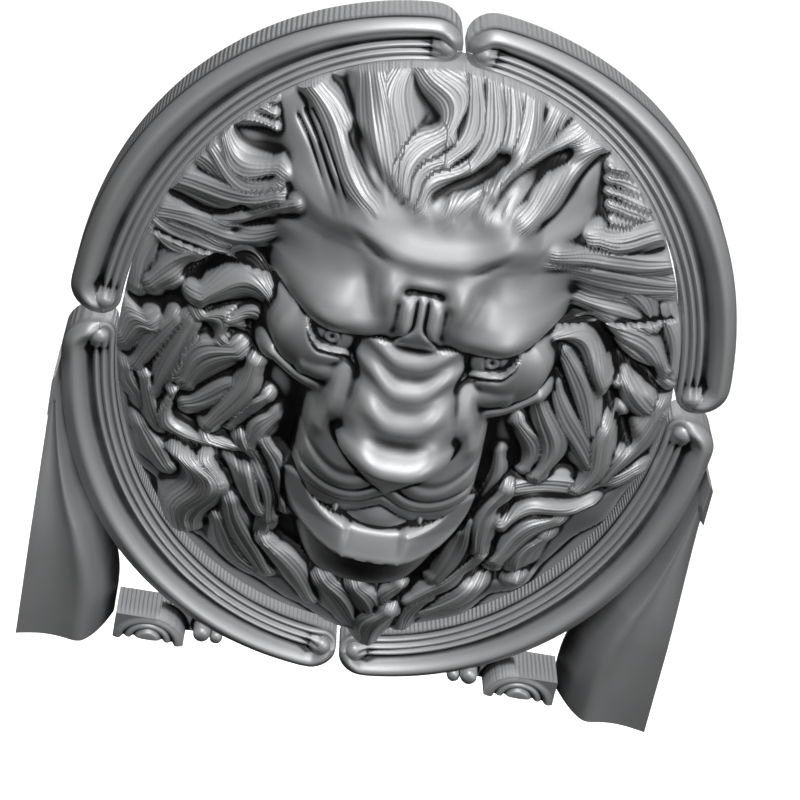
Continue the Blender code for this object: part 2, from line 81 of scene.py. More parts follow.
# Larger of two heights, the seam rounded: half the sum plus half the rooted squared gap
def softMax(a, b, blend):
    return 0.5 * (a + b + np.sqrt((a - b) ** 2 + blend * blend))


# Bell hill of height one over an ellipse whose long axis is turned by some degrees
def hill(x, z, at, size, turn=0.0):
    c, s = math.cos(math.radians(turn)), math.sin(math.radians(turn))
    u = ((x - at[0]) * c + (z - at[1]) * s) / size[0]
    v = ((z - at[1]) * c - (x - at[0]) * s) / size[1]
    return np.exp(-(u * u + v * v))


# Share along a bowed and swayed line, distance to its side and distance past its ends
def lineFrame(x, z, line):
    fromX, fromZ, toX, toZ, bow, sway = line[:6]
    length = math.hypot(toX - fromX, toZ - fromZ)
    unitX, unitZ = (toX - fromX) / length, (toZ - fromZ) / length
    along = ((x - fromX) * unitX + (z - fromZ) * unitZ) / length
    held = np.clip(along, 0.0, 1.0)
    across = (z - fromZ) * unitX - (x - fromX) * unitZ
    across = across - bow * np.sin(math.pi * held) - sway * np.sin(2.0 * math.pi * held)
    return held, across, (along - held) * length


# Groove or weal along a line: a bell across it that fades past its ends
def stroke(x, z, line, width):
    across, beyond = lineFrame(x, z, line)[1:]
    return np.exp(-(across / width) ** 2 - (beyond / (1.5 * width)) ** 2)


# Smooth line through stops: a cubic between neighbours, with the mean slope kept at each stop
def smoothLine(value, stops):
    place, height = np.array(stops, dtype=float).T
    slope = np.gradient(height, place)
    k = np.clip(np.searchsorted(place, value) - 1, 0, len(place) - 2)
    width = place[k + 1] - place[k]
    t = np.clip((value - place[k]) / width, 0.0, 1.0)
    start = (1.0 + 2.0 * t) * (1.0 - t) ** 2 * height[k] + t * (1.0 - t) ** 2 * width * slope[k]
    return start + t * t * (3.0 - 2.0 * t) * height[k + 1] + t * t * (t - 1.0) * width * slope[k + 1]


# sRGB hex colour turned to linear light
def hexColour(text):
    values = [int(text[i:i + 2], 16) / 255.0 for i in (1, 3, 5)]
    return tuple(v / 12.92 if v <= 0.04045 else ((v + 0.055) / 1.055) ** 2.4 for v in values) + (1.0,)


# One node with its settings and its links, both keyed by socket name, socket number or property
def addNode(tree, kind, settings=None, links=None):
    node = tree.nodes.new(kind)
    for key, value in (settings or {}).items():
        if isinstance(key, int) or key in node.inputs:
            node.inputs[key].default_value = value
        else:
            setattr(node, key, value)
    for key, source in (links or {}).items():
        tree.links.new(source, node.inputs[key])
    return node


# Materials: grey cast iron, sand cast, fettled and waxed; recesses are painted black, for the wax patina
# there and as painted shade

ironLook = {
    # Tones along the hollow value: the recess is wax and painted shade, rubbed is wear and a painted
    # highlight
    "tones": ((0.22, "#0a0a0b"), (0.52, "#9d9ea0"), (0.90, "#b9babb")),     # recess, base and rubbed
    "metallic": 0.35, "smoother": 0.06, "rougher": 0.08,
    "blotchScale": 38.0, "blotchShare": 0.16,      # patina blotches of about 26 mm
    "grainScale": 900.0, "grainDepth": 0.08,       # sand grain of about 1.1 mm, its depth in mm
}


# Cast iron reads as a soft grey metal with broad highlights: the hollows are painted dark, for the wax
# there and as painted shade, the high places are painted lighter, for wear and as a painted highlight, and
# the sand's grain breaks up the shine
def makeIron(name, stripes, stripeSpacing, stripeDepth, roughness):
    made = bpy.data.materials.new(name)
    made.use_nodes = True
    tree = made.node_tree
    tree.nodes.clear()
    coords = addNode(tree, "ShaderNodeTexCoord")
    # The hollow attribute: painted shade in the recesses, a painted highlight on the high places
    hollow = addNode(tree, "ShaderNodeAttribute", {"attribute_name": "hollow"})
    blotch = addNode(tree, "ShaderNodeTexNoise",
                     {"Scale": ironLook["blotchScale"], "Detail": 4.0, "Roughness": 0.6},
                     {"Vector": coords.outputs["Object"]})
    shifted = addNode(tree, "ShaderNodeMath", {"operation": "MULTIPLY_ADD", 1: ironLook["blotchShare"]},
                      {0: blotch.outputs["Fac"], 2: hollow.outputs["Fac"]})
    tone = addNode(tree, "ShaderNodeValToRGB", {}, {"Fac": shifted.outputs[0]})
    bar = tone.color_ramp
    bar.interpolation = "EASE"
    recessShade, base, rubbedHighlight = ironLook["tones"]
    bar.elements[0].position = recessShade[0]
    bar.elements[0].color = hexColour(recessShade[1])
    bar.elements[1].position = rubbedHighlight[0]
    bar.elements[1].color = hexColour(rubbedHighlight[1])
    middle = bar.elements.new(base[0])
    middle.color = hexColour(base[1])
    grain = addNode(tree, "ShaderNodeTexNoise",
                    {"Scale": ironLook["grainScale"], "Detail": 3.0, "Roughness": 0.65},
                    {"Vector": coords.outputs["Object"]})
    run = addNode(tree, "ShaderNodeAttribute", {"attribute_name": stripes})
    much = addNode(tree, "ShaderNodeAttribute", {"attribute_name": "striped"})
    wander = addNode(tree, "ShaderNodeMath", {"operation": "MULTIPLY_ADD", 1: stripeSpacing * 0.5},
                     {0: blotch.outputs["Fac"], 2: run.outputs["Fac"]})
    phase = addNode(tree, "ShaderNodeMath", {"operation": "MULTIPLY", 1: 2.0 * math.pi / stripeSpacing},
                    {0: wander.outputs[0]})
    wave = addNode(tree, "ShaderNodeMath", {"operation": "SINE"}, {0: phase.outputs[0]})
    lines = addNode(tree, "ShaderNodeMath", {"operation": "MULTIPLY"},
                    {0: wave.outputs[0], 1: much.outputs["Fac"]})
    stripeBump = addNode(tree, "ShaderNodeBump", {"Strength": 1.0, "Distance": stripeDepth * mm},
                         {"Height": lines.outputs[0]})
    grainBump = addNode(tree, "ShaderNodeBump", {"Strength": 0.35, "Distance": ironLook["grainDepth"] * mm},
                        {"Height": grain.outputs["Fac"], "Normal": stripeBump.outputs[0]})
    gloss = addNode(tree, "ShaderNodeMapRange",
                    {"To Min": roughness - ironLook["smoother"], "To Max": roughness + ironLook["rougher"]},
                    {"Value": grain.outputs["Fac"]})
    shader = addNode(tree, "ShaderNodeBsdfPrincipled", {"Metallic": ironLook["metallic"]},
                     {"Base Color": tone.outputs["Color"], "Roughness": gloss.outputs[0],
                      "Normal": grainBump.outputs[0]})
    addNode(tree, "ShaderNodeOutputMaterial", {}, {"Surface": shader.outputs[0]})
    return made


# Name, stripe attribute, stripe spacing and depth in mm, roughness
headIron = makeIron("waxed_iron_painted_shade_combed_hair", "run", 2.5, 0.10, 0.46)    # hair lines 2.5 mm apart
frameIron = makeIron("waxed_iron_painted_shade_filed_walls", "run", 2.7, 0.22, 0.44)   # file marks 2.7 mm apart
flankIron = makeIron("waxed_iron_painted_shade_plain", "run", 2.7, 0.22, 0.46)
print("materials made")


# Closed relief pieces

# Mean of the grid over a square of cells, by running sums along both directions
def boxBlur(grid, reach):
    for axis in (0, 1):
        padded = np.pad(grid, [(reach + 1, reach) if k == axis else (0, 0) for k in (0, 1)], mode="edge")
        total = np.cumsum(padded, axis=axis)
        width = 2 * reach + 1
        ahead = np.take(total, range(width, total.shape[axis]), axis=axis)
        behind = np.take(total, range(0, total.shape[axis] - width), axis=axis)
        grid = (ahead - behind) / width
    return grid


# Hollow value of a surface, for painted shade and painted highlight: half, less the share by which it lies
# under its blurred self
def cavityShadeValue(level, spans):
    value = np.full_like(level, 0.5)
    for reach, depth in spans:
        value = value + 0.5 * np.clip((level - boxBlur(boxBlur(level, reach), reach)) / depth, -1.0, 1.0)
    return np.clip(value, 0.0, 1.0)


# Value of an even grid at any place in it: its four nearest points, each by its share
def readEven(grid, across, upward):
    i = np.clip(across.astype(int), 0, grid.shape[0] - 2)
    j = np.clip(upward.astype(int), 0, grid.shape[1] - 2)
    u, v = across - i, upward - j
    low = grid[i, j] * (1.0 - u) + grid[i + 1, j] * u
    high = grid[i, j + 1] * (1.0 - u) + grid[i + 1, j + 1] * u
    return low * (1.0 - v) + high * v


sharpAngle = 62.0        # degrees, past which an edge stays sharp


# Closed solid: a grid of front points, a skirt straight back to the wall and one flat back face
def reliefPiece(name, front, fields, skirtSteps, iron):
    rows, columns = front.shape[:2]
    index = np.arange(rows * columns).reshape(rows, columns)
    rim = np.concatenate([index[0, :-1], index[:-1, -1], index[-1, :0:-1], index[:0:-1, 0]])
    points = front.reshape(-1, 3)
    count = len(rim)
    rings = [rim]
    stacks = [points]
    for step in range(1, skirtSteps + 1):
        ring = points[rim].copy()
        ring[:, 1] *= 1.0 - step / skirtSteps
        stacks.append(ring)
        rings.append(len(points) + (step - 1) * count + np.arange(count))
    allPoints = np.concatenate(stacks) * mm
    cells = np.stack([index[:-1, :-1], index[:-1, 1:], index[1:, 1:], index[1:, :-1]], axis=-1)
    quads = [cells.reshape(-1, 4)]
    for upper, lower in zip(rings[:-1], rings[1:]):
        quads.append(np.stack([np.roll(upper, -1), upper, lower, np.roll(lower, -1)], axis=-1))
    faces = np.concatenate(quads)
    back = rings[-1][::-1]
    a, b, c = (allPoints[faces[:, k]] for k in (0, 1, 2))
    volume = np.einsum("ij,ij->i", a, np.cross(b, c)).sum()
    if volume < 0.0:
        faces = faces[:, ::-1]
        back = back[::-1]
    mesh = bpy.data.meshes.new(name)
    mesh.vertices.add(len(allPoints))
    mesh.vertices.foreach_set("co", allPoints.astype(np.float32).ravel())
    corners = np.concatenate([faces.ravel(), back]).astype(np.int32)
    starts = np.append(np.arange(len(faces)) * 4, len(faces) * 4).astype(np.int32)
    mesh.loops.add(len(corners))
    mesh.loops.foreach_set("vertex_index", corners)
    mesh.polygons.add(len(starts))
    mesh.polygons.foreach_set("loop_start", starts)
    mesh.update(calc_edges=True)
    mesh.polygons.foreach_set("use_smooth", np.ones(len(starts), dtype=bool))
    mesh.set_sharp_from_angle(angle=math.radians(sharpAngle))
    for field, (values, onSkirt) in fields.items():
        flat = values.reshape(-1)
        skirt = np.tile(flat[rim], skirtSteps) if onSkirt is None else np.full(count * skirtSteps, onSkirt)
        layer = mesh.attributes.new(field, "FLOAT", "POINT")
        layer.data.foreach_set("value", np.concatenate([flat, skirt]).astype(np.float32))
    mesh.materials.append(iron)
    made = bpy.data.objects.new(name, mesh)
    bpy.context.scene.collection.objects.link(made)
    print(name, len(faces) * 2 + len(back) - 2, "triangles")
    return made


# The ring of four mouldings

ring = {
    "halfWidth": 178.0, "halfHeight": 202.4,      # ellipse that the scroll balls stand on
    "ballLevel": 28.0, "ballRadius": 6.0, "ballInset": 9.6,
    "outerSide": 21.4, "outerTop": 17.2, "outerBulge": 4.2, "inner": -9.8,
    "insideBox": 0.15,                            # the outer wall stays this far inside the CAD's
    "sideGap": 5.2, "topGap": 1.8, "endOuter": 17.0, "endInner": 10.0,
    "rollRise": 6.4, "rollAt": 0.34, "rollWidth": 0.27,
    "hollowDepth": 4.0, "hollowAt": 0.80, "hollowWidth": 0.17,
    "rimDrop": 2.2, "rimShare": 0.16, "edgeDrop": 2.6, "edgeWidth": 9.0,
    "beadRise": 1.1, "beadPitch": 4.7, "beadAt": 1.2,
    "columnsEnd": 26, "columnsMiddle": 230, "across": 58, "crowding": 0.035, "firstTurn": 14.0,
    "markRadius": 190.0,                          # turns an angle into mm for the file marks
    "spans": ((3, 2.6), (9, 9.0)), "lighter": 0.08, "wallTone": 0.64,
}


# Radius of the ball ellipse in a direction: one over the root of the squared axis shares
def ballEllipse(angle):
    shares = (np.cos(angle) / ring["halfWidth"]) ** 2 + (np.sin(angle) / ring["halfHeight"]) ** 2
    return 1.0 / np.sqrt(shares)


# Distance out to the outer wall: side value to top value by the squared sine, fuller on the diagonals
def outerOffset(angle):
    steep = np.sin(angle) ** 2
    level = ring["outerSide"] - ring["insideBox"] + (ring["outerTop"] - ring["outerSide"]) * steep
    return level + ring["outerBulge"] * np.sin(2.0 * angle) ** 2


# Height of the moulding: a bell roll outside, a bell hollow, cosine beads inside, a ball at the end,
# and a rim rounded by a quarter ellipse
def mouldingLevel(along, offset, outer):
    reach = np.where(offset > 0.0, ring["endOuter"], ring["endInner"])
    side = np.where(offset > 0.0, outer, -ring["inner"])
    lengthwise = np.clip(1.0 - along / reach, 0.0, 1.0)
    inset = 1.0 - np.hypot(lengthwise, np.abs(offset) / side)
    wrap = ramp(offset, -6.0, 8.0)
    crest = bell(inset, ring["rollAt"], ring["rollWidth"])
    hollow = bell(inset, ring["hollowAt"], ring["hollowWidth"])
    roll = (ring["rollRise"] * crest - ring["hollowDepth"] * hollow) * wrap
    slope = -ring["edgeDrop"] * np.clip(-offset / ring["edgeWidth"], 0.0, 1.0)
    beads = np.cos(2.0 * math.pi * (offset - ring["beadAt"]) / ring["beadPitch"]) * ramp(along, 9.0, 16.0)
    body = ring["ballLevel"] + roll + (slope + ring["beadRise"] * beads) * fade(offset, 1.5, 5.0)
    fromBall = (along - ring["ballInset"]) ** 2 + offset ** 2
    dome = ring["ballLevel"] - 1.0 + np.sqrt(np.maximum(ring["ballRadius"] ** 2 - fromBall, 0.0))
    level = np.where(fromBall < ring["ballRadius"] ** 2, np.maximum(body, dome), body)
    fromRim = np.clip(inset / ring["rimShare"], 0.0, 1.0)
    return level - ring["rimDrop"] * (1.0 - np.sqrt(1.0 - (1.0 - fromRim) ** 2))


# One crescent: lines across the moulding, bent into a half ellipse round each end
def buildMoulding(name, fromAngle, toAngle, gapFrom, gapTo):
    start = fromAngle + gapFrom / 2.0 / ballEllipse(fromAngle)
    stop = toAngle - gapTo / 2.0 / ballEllipse(toAngle)
    shares = np.linspace(0.0, 1.0, ring["across"])
    shares = shares - ring["crowding"] * np.sin(2.0 * math.pi * shares)
    turns = np.linspace(math.radians(ring["firstTurn"]), math.pi / 2.0, ring["columnsEnd"] + 1)
    columns = []
    for endAngle, direction in ((start, 1.0), (stop, -1.0)):
        outer = outerOffset(endAngle)
        lead = 1.0 - np.cos(turns)[:, None]
        along = lead * (ring["endOuter"] + (ring["endInner"] - ring["endOuter"]) * shares)
        offset = np.sin(turns)[:, None] * (outer + (ring["inner"] - outer) * shares)
        angle = endAngle + direction * along / ballEllipse(endAngle)
        columns.append((angle, along, offset, np.full_like(along, outer)))
    first = start + ring["endOuter"] / ballEllipse(start)
    last = stop - ring["endOuter"] / ballEllipse(stop)
    angles = np.linspace(first, last, ring["columnsMiddle"] + 1)[1:-1]
    outer = outerOffset(angles)[:, None]
    offset = outer + (ring["inner"] - outer) * shares
    along = np.minimum((angles - start) * ballEllipse(start), (stop - angles) * ballEllipse(stop))
    zero = 0.0 * offset
    columns.insert(1, (angles[:, None] + zero, along[:, None] + zero, offset, outer + zero))
    columns[2] = tuple(part[::-1] for part in columns[2])
    angle, along, offset, outer = (np.concatenate([c[k] for c in columns]) for k in range(4))
    level = mouldingLevel(along, offset, outer)
    reach = ballEllipse(angle) + offset
    front = np.stack([reach * np.cos(angle), -level, reach * np.sin(angle)], axis=2)
    # Painted shade in the moulding's hollows and a painted highlight on its high places, the whole ring a
    # little lighter
    hollow = cavityShadeValue(level, ring["spans"]) + ring["lighter"]
    fields = {"hollow": (hollow, ring["wallTone"]), "run": (angle * ring["markRadius"], None),
              "striped": (np.zeros_like(level), 1.0)}
    made = reliefPiece(name + "_cast", front, fields, 4, frameIron)
    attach(made, "root")
    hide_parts(name)


quarter = math.pi / 2.0
buildMoulding("frame_upper_right", 0.0, quarter, ring["sideGap"], ring["topGap"])
buildMoulding("frame_upper_left", quarter, 2.0 * quarter, ring["topGap"], ring["sideGap"])
buildMoulding("frame_lower_left", 2.0 * quarter, 3.0 * quarter, ring["sideGap"], ring["topGap"])
buildMoulding("frame_lower_right", 3.0 * quarter, 4.0 * quarter, ring["topGap"], ring["sideGap"])
print("ring made")


# Flank pieces and volutes

flank = {
    "cutX": 200.0, "footZ": -216.0, "topZ": -36.0, "level": 46.0, "clearance": 1.2,
    "freeX": 142.5, "bow": 34.0, "bowFrom": -200.0, "bowTo": -92.0,
    "rimLevel": 3.0, "shoulder": 0.42, "fullness": 2.2, "topDrop": 9.0, "dish": 4.5, "dishFrom": 0.3,
    "leafZ": -64.0, "leafSlope": 14.0, "leafStep": 4.0, "leafRise": 12.0,
    "tone": 0.62, "edgeShade": 0.46, "wallTone": 0.5, "rows": 150, "across": 56,
}


# Points of the ring's outer wall between two directions
def ringEdge(fromAngle, toAngle):
    angles = np.linspace(fromAngle, toAngle, 721)
    radius = ballEllipse(angles) + outerOffset(angles)
    return radius * np.cos(angles), radius * np.sin(angles)


# Flank: inner edge along the ring above and bowing inwards below, a steep round shoulder, a dish as
# half a sine wave, and the leaf tip as a step at its upper end
def buildFlank(name, side):
    edgeX, edgeZ = ringEdge(-quarter, quarter)
    z = np.linspace(flank["footZ"], flank["topZ"], flank["rows"])[:, None]
    byRing = np.interp(z, edgeZ, edgeX) + flank["clearance"]
    free = flank["freeX"] + flank["bow"] * ramp(z, flank["bowFrom"], flank["bowTo"]) ** 1.25
    inner = np.maximum(free, byRing)
    share = np.linspace(0.0, 1.0, flank["across"])[None, :] + 0.0 * z
    x = inner + (flank["cutX"] - inner) * share
    z = z + 0.0 * x
    shoulder = 1.0 - (1.0 - np.clip(share / flank["shoulder"], 0.0, 1.0)) ** flank["fullness"]
    drop = flank["topDrop"] * ramp(z, -160.0, -60.0)
    inDish = np.clip((share - flank["dishFrom"]) / (1.0 - flank["dishFrom"]), 0.0, 1.0)
    dish = flank["dish"] * np.sin(math.pi * inDish)
    level = flank["rimLevel"] + (flank["level"] - drop - flank["rimLevel"]) * shoulder - dish
    leafEdge = flank["leafZ"] + flank["leafSlope"] * (1.0 - share)
    leaf = ramp(z, leafEdge, leafEdge + flank["leafStep"]) * (0.6 + 0.4 * share)
    level = level + flank["leafRise"] * leaf
    # Painted shade: the flank's tone gets darker towards its inner edge
    hollow = flank["tone"] - flank["edgeShade"] * fade(share, 0.0, 0.30)
    fields = {"hollow": (hollow, flank["wallTone"]), "run": (x, None),
              "striped": (np.zeros_like(level), 0.0)}
    made = reliefPiece(name + "_cast", np.stack([side * x, -level, z], axis=2), fields, 3, flankIron)
    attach(made, "root")
    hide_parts(name)


volute = {
    "topZ": -199.0, "footZ": -216.0, "outerX": 141.0, "innerX": 60.0, "level": 33.0,
    "eyeX": 119.0, "eyeZ": -217.0, "oval": 1.25, "eyeRadius": 6.0, "eyeRise": 1.6, "clearance": 0.9,
    "steps": ((14.0, 12.2, 2.6), (9.0, 7.4, 1.4)),        # from and to this far from the eye, depth
    "grooves": ((12.4, 1.2, 2.4), (7.4, 1.0, 2.0)),       # distance from the eye, half width, depth
    "lipFrom": 15.0, "lipTo": 18.5, "lipDrop": 1.4, "webLevel": 12.0,
    "balls": ((86.0, -210.0, 5.5, 22.0), (76.5, -212.5, 4.2, 20.0)),      # x, z, radius and level
    "spans": ((3, 2.0),), "wallTone": 0.45, "columns": 150, "rows": 44,
}


# Volute: a high lip, then two steps down with a bell groove at the foot of each, round an oval eye;
# inwards of it a low web with two small balls
def buildVolute(name, side):
    edgeX, edgeZ = ringEdge(-quarter, 0.0)
    x = np.linspace(volute["innerX"], volute["outerX"], volute["columns"])[:, None]
    top = np.minimum(volute["topZ"], np.interp(x, edgeX, edgeZ) - volute["clearance"])
    share = np.linspace(0.0, 1.0, volute["rows"])[None, :]
    z = top + (volute["footZ"] - top) * share
    x = x + 0.0 * z
    fromEye = np.hypot((x - volute["eyeX"]) / volute["oval"], z - volute["eyeZ"])
    scroll = volute["level"]
    for start, stop, depth in volute["steps"]:
        scroll = scroll - depth * ramp(-fromEye, -start, -stop)
    for middle, width, depth in volute["grooves"]:
        scroll = scroll - depth * bell(fromEye, middle, width)
    inEye = np.maximum(1.0 - (fromEye / volute["eyeRadius"]) ** 2, 0.0)
    scroll = scroll + volute["eyeRise"] * np.sqrt(inEye)
    scroll = scroll - volute["lipDrop"] * ramp(fromEye, volute["lipFrom"], volute["lipTo"])
    level = np.where((fromEye > volute["lipTo"]) & (x < volute["eyeX"]), volute["webLevel"], scroll)
    for ballX, ballZ, radius, foot in volute["balls"]:
        within = radius ** 2 - (x - ballX) ** 2 - (z - ballZ) ** 2
        level = np.where(within > 0.0, np.maximum(level, foot + np.sqrt(np.maximum(within, 0.0))), level)
    # Painted shade in the volute's hollows and a painted highlight on its high places
    fields = {"hollow": (cavityShadeValue(level, volute["spans"]), volute["wallTone"]), "run": (x, None),
              "striped": (np.zeros_like(level), 1.0)}
    made = reliefPiece(name + "_cast", np.stack([side * x, -level, z], axis=2), fields, 3, frameIron)
    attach(made, "root")
    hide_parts(name)


buildFlank("flank_left", -1.0)
buildFlank("flank_right", 1.0)
buildVolute("volute_left", -1.0)
buildVolute("volute_right", 1.0)
print("flanks and volutes made")


# The lion's head

head = {
    "cells": 308, "density": 0.74,          # grid over the disc, closer set in the middle
    "rimGap": 2.4, "plateGap": 1.0, "plateLevel": 9.0, "rimLevel": 26.0, "dome": 46.0, "sunk": 5.0,
    "subPitch": 7.1, "subRise": 0.45, "strandPitch": 3.9, "strandRise": 0.18, "strandShift": 11.3,
    "valleyFloor": 4.0, "seam": 1.2, "hairFrom": 0.36, "hairTo": 0.50, "mouthFloor": 56.0,
    "evenStep": 1.0, "spans": ((2, 1.5), (6, 7.5)), "wallTone": 0.3,
}

# Notches in the mane's outline: direction in degrees, depth and width in degrees
rimNotches = ((200, 2, 12), (220, 8, 4), (238, 11, 8), (252, 12, 8), (262, 6, 5), (287, 4, 8), (300, 10, 5),
              (314, 10, 7), (323, 9, 6), (336, 4, 6), (24, 2, 4))


# Mane outline: the ring's inner wall less a gap, less a bell notch at each direction
def maneOutline(angle):
    radius = ballEllipse(angle) + ring["inner"] - head["rimGap"]
    degrees = np.degrees(angle) % 360.0
    for middle, depth, width in rimNotches:
        away = (degrees - middle + 180.0) % 360.0 - 180.0
        radius = radius - depth * bell(away, 0.0, width)
    return radius


# Locks: start x and z, end x and z, bow, sway, half width and rise
locks = (
    # crown, from left to right
    (-81, 168, -38, 124, 0, 2, 8, 13), (-50, 186, -28, 131, 0, 0, 11, 7),
    (-31, 190, -28, 142, -4, -3, 9, 6), (-25, 150, -25, 129, -3, 0, 6, 7),
    (-21, 192, -2, 161, 10, -3, 9, 10), (-2, 161, -21, 131, -7, 1, 8, 10),
    (8, 192, -1, 149, 10, -1, 8, 9), (-1, 149, -16, 127, -6, 0, 7, 9), (19, 191, 13, 147, 8, -1, 8, 10),
    (13, 147, -10, 126, -4, 2, 8, 10), (29, 190, 23, 142, 7, 0, 7, 9), (23, 142, 6, 123, -4, 0, 7, 9),
    (44, 184, 28, 131, 4, 2, 9, 10), (59, 177, 32, 136, 0, 2, 9, 9), (78, 170, 34, 142, -1, 2, 8, 11),
    (88, 164, 50, 128, -4, -2, 8, 14),
    # right side, from the ear down to the beard
    (96, 113, 145, 113, -1, -2, 9, 12), (73, 105, 152, 95, -3, 1, 8, 13), (70, 99, 155, 79, -2, 0, 9, 14),
    (101, 88, 143, 58, 7, -1, 6, 11), (91, 75, 140, 57, 1, -1, 6, 12), (106, 61, 155, 28, 8, -1, 8, 12),
    (117, 50, 162, 20, 1, 1, 6, 9), (77, 55, 121, 22, 15, 4, 10, 18), (149, 64, 163, 25, 5, 0, 7, 8),
    (90, 45, 118, -8, 4, 0, 9, 12), (88, 24, 126, -36, -1, -1, 9, 13), (82, 13, 92, -38, 9, -2, 9, 16),
    (73, -4, 84, -35, 8, -1, 6, 10), (131, -1, 120, -50, 2, -3, 9, 16), (158, 5, 134, -44, 3, 1, 8, 11),
    (133, 27, 160, -2, -1, 0, 7, 9), (155, -41, 76, -52, 5, 4, 8, 10), (76, -52, 68, -98, -5, 0, 9, 14),
    (131, -62, 80, -80, -7, 4, 7, 12), (112, -78, 83, -110, -5, -1, 8, 11),
    (108, -92, 98, -128, -6, -1, 9, 12), (57, -78, 49, -126, 4, 0, 9, 13),
    (70, -104, 35, -148, 4, 1, 7, 15), (52, -27, 52, -69, 6, 0, 5, 6), (65, -26, 60, -65, 3, 1, 5, 7),
    # beard
    (81, -120, 45, -160, 6, 0, 8, 12), (-60, -119, -25, -162, 3, 0, 8, 17),
    (-21, -143, 3, -173, 2, 0, 11, 15), (0, -141, 15, -168, 3, 0, 9, 15),
    (24, -157, 16, -188, -4, 0, 11, 24), (45, -144, 35, -174, -5, 0, 9, 14),
    (27, -135, 15, -163, -2, 0, 6, 12),
    # left side, from the cheek down to the beard
    (-122, 37, -77, 44, 16, -2, 12, 18), (-104, 27, -82, 20, 9, 0, 9, 13),
    (-120, 23, -108, 14, 11, 0, 9, 12), (-97, 9, -124, -20, -7, 0, 11, 12),
    (-88, -9, -120, -37, 1, -1, 8, 10), (-129, -30, -105, -55, -17, -1, 6, 17),
    (-105, -55, -67, -95, 10, 3, 8, 16), (-86, 6, -105, -44, 4, 1, 8, 15),
    (-75, -15, -93, -40, -3, 0, 6, 10), (-67, -26, -79, -50, -3, 0, 8, 11),
    (-72, -44, -52, -88, 4, 0, 8, 12), (-85, -46, -62, -100, 4, -1, 8, 12),
    (-147, -29, -112, -67, -10, 1, 7, 12), (-145, -65, -126, -88, -1, 0, 8, 10),
    (-158, -30, -147, -49, -1, -1, 7, 8), (-118, -72, -111, -126, 9, 7, 12, 19),
    (-106, -71, -104, -127, 8, 5, 7, 12), (-85, -96, -56, -149, -3, -1, 9, 12),
    (-90, -113, -62, -150, -6, 1, 8, 11), (-67, -95, -58, -126, 0, 2, 6, 9),
    # left side, under the ear and out to the rim
    (-157, 92, -90, 107, -4, 2, 8, 13), (-121, 80, -80, 107, -3, -1, 6, 11),
    (-152, 72, -80, 92, -7, 3, 7, 12), (-158, 66, -116, 62, -2, -1, 9, 10),
    (-123, 60, -152, 31, -2, 0, 9, 10), (-135, 122, -92, 112, -11, 2, 7, 10),
    (-144, 110, -107, 103, 1, 2, 6, 8), (-126, 130, -92, 120, -12, -1, 7, 9),
    (-155, 58, -160, 25, -3, 0, 7, 8), (-148, 4, -163, -11, -5, -1, 10, 9),
    (-125, 17, -140, -37, 0, 0, 8, 10), (-134, 14, -153, -25, -1, 0, 7, 8),
    (-120, 7, -132, -36, -2, 0, 6, 9),
    # ribs in the right ear
    (97, 150, 116, 144, 1, 0, 4, 7), (98, 143, 121, 136, 1, 0, 4, 7), (99, 136, 125, 128, 1, 0, 4, 7),
    (101, 129, 129, 120, 1, 0, 4, 7), (103, 122, 131, 112, 1, 0, 4, 7),
    # ribs in the left ear
    (-101, 153, -121, 148, -2, 0, 3, 6), (-99, 146, -124, 141, -3, 0, 3, 7),
    (-97, 139, -128, 134, -3, 0, 3, 7),
)

# Deep valleys between the locks: start, end, bow, sway, half width and depth
valleys = (
    (-50, 148, -24, 124, -1, 0, 5, 14), (30, 153, -2, 131, 2, 1, 4, 12), (67, 154, 32, 132, -6, 1, 5, 12),
    (78, 68, 146, 26, 4, 5, 6, 16), (135, -57, 81, -68, -3, 3, 5, 14), (-126, 46, -73, 62, 11, -1, 6, 18),
    (-161, 80, -108, 91, -4, 3, 3, 10), (-124, -64, -85, -61, -2, -1, 5, 14),
    (-109, 78, -79, 98, 0, 0, 3, 9), (75, -125, 100, -125, -3, 1, 7, 14), (-88, 26, -61, 12, 0, 0, 5, 14),
    (127, 28, 143, -16, -6, -2, 5, 12), (-85, 148, -58, 113, 1, 0, 1.2, 3),
    (-81, 151, -54, 116, 1, 0, 1.2, 4), (-77, 154, -50, 119, 1, 0, 1.2, 4),
)


# Hair: each lock is a parabola across and past its ends, joined to the others with a rounded seam;
# the side distance to the highest one, drawn together where it narrows, numbers its strands, which
# fade out towards its seams
def hairField(x, z):
    lift = np.full_like(x, -head["valleyFloor"])
    highest = np.full_like(x, -60.0)
    strand = np.zeros_like(x)
    hold = np.zeros_like(x)
    for number, lock in enumerate(locks):
        halfWidth, rise = lock[6:]
        held, across, beyond = lineFrame(x, z, lock)
        taper = 0.55 + 0.45 * np.sin(math.pi * np.clip(held, 0.10, 0.90))
        away = (across / (1.5 * halfWidth * taper)) ** 2 + (beyond / (1.1 * halfWidth)) ** 2
        mine = np.maximum(0.70 * rise * (1.0 - away), -30.0)
        won = mine > highest
        highest = np.where(won, mine, highest)
        strand = np.where(won, across / taper + head["strandShift"] * number, strand)
        hold = np.where(won, ramp(1.0 - away, 0.05, 0.60), hold)
        lift = softMax(lift, mine, head["seam"])
    return lift, strand, hold


nose = {
    "bands": ((51, 100.5), (36, 106.5), (20.5, 113.5), (2, 121.5), (-20, 137.0)),    # upper edge, height
    "sag": 11.0, "tipSagLess": 6.0, "sagWidth": 18.0, "waveAt": 0.38, "waveShare": 0.20,
    "tipFrom": -17.0, "tipTo": -40.5, "tipCurl": 4.0, "tipHalf": 27.0, "tipDrop": 28.0,
    "bridgeHalf": 25.0, "browFlare": 4.0, "nostrilFlare": 5.5,
    "bridgeFall": 12.0, "nostrilFall": 8.0, "wallFall": 50.0, "top": 51.0,
}


